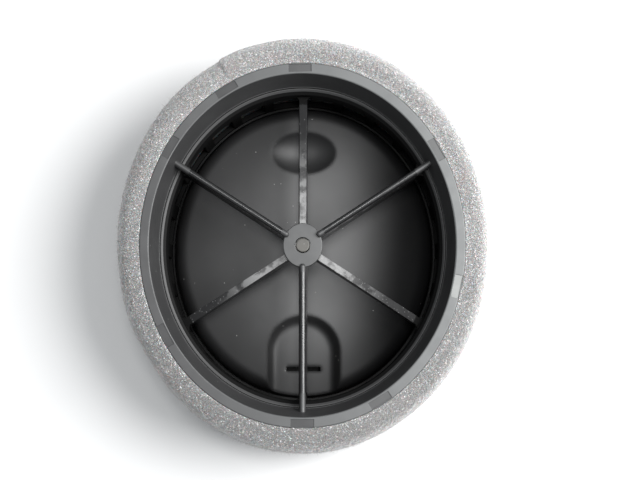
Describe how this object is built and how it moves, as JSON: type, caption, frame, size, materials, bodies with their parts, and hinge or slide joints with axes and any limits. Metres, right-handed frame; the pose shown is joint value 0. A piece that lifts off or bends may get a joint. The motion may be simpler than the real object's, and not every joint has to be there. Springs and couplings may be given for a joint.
{
  "type": "air filter",
  "caption": "Oval drum air filter for a motorcycle: grey foam sleeve round a black plastic cage, an open neck crossed by ribs from a central hub, and a closed end cap.",
  "frame": {"origin": "on the base plane that the closed end stands on, on the drum's axis", "axes": "+Z along the drum's axis, out of the open neck; +Y along the longer width of the oval, with the round dimple of the end cap on that side; +X along the shorter width"},
  "size_m": [0.143, 0.1608, 0.046],
  "materials": {
    "neck_ring": "dark grey moulded polypropylene, satin, lightly scuffed",
    "support_tube": "black moulded polypropylene, semi-gloss",
    "hub_pin": "dark grey plastic with a rough heat-staked end",
    "end_cap": "black moulded polypropylene, fine matt grain",
    "fine_foam": "dark fine-celled polyurethane foam",
    "foam_sleeve": "open-celled grey polyurethane foam",
    "potting": "black cast polyurethane",
    "foam_glue": "pale flexible contact adhesive"
  },
  "bodies": {
    "drum": {"neck_ring": "neck_ring", "support_tube": "support_tube", "hub_pin": "hub_pin", "end_cap": "end_cap", "fine_foam": "fine_foam", "fine_foam_glue": "foam_glue", "cap_potting": "potting", "neck_potting": "potting"},
    "sleeve": {"foam_sleeve": "foam_sleeve", "sleeve_glue": "foam_glue"}
  },
  "joints": [
    {"name": "sleeve_slide", "type": "slide", "parent": "drum", "child": "sleeve", "axis": [0, 0, 1], "range_m": [0, 0.06]}
  ]
}
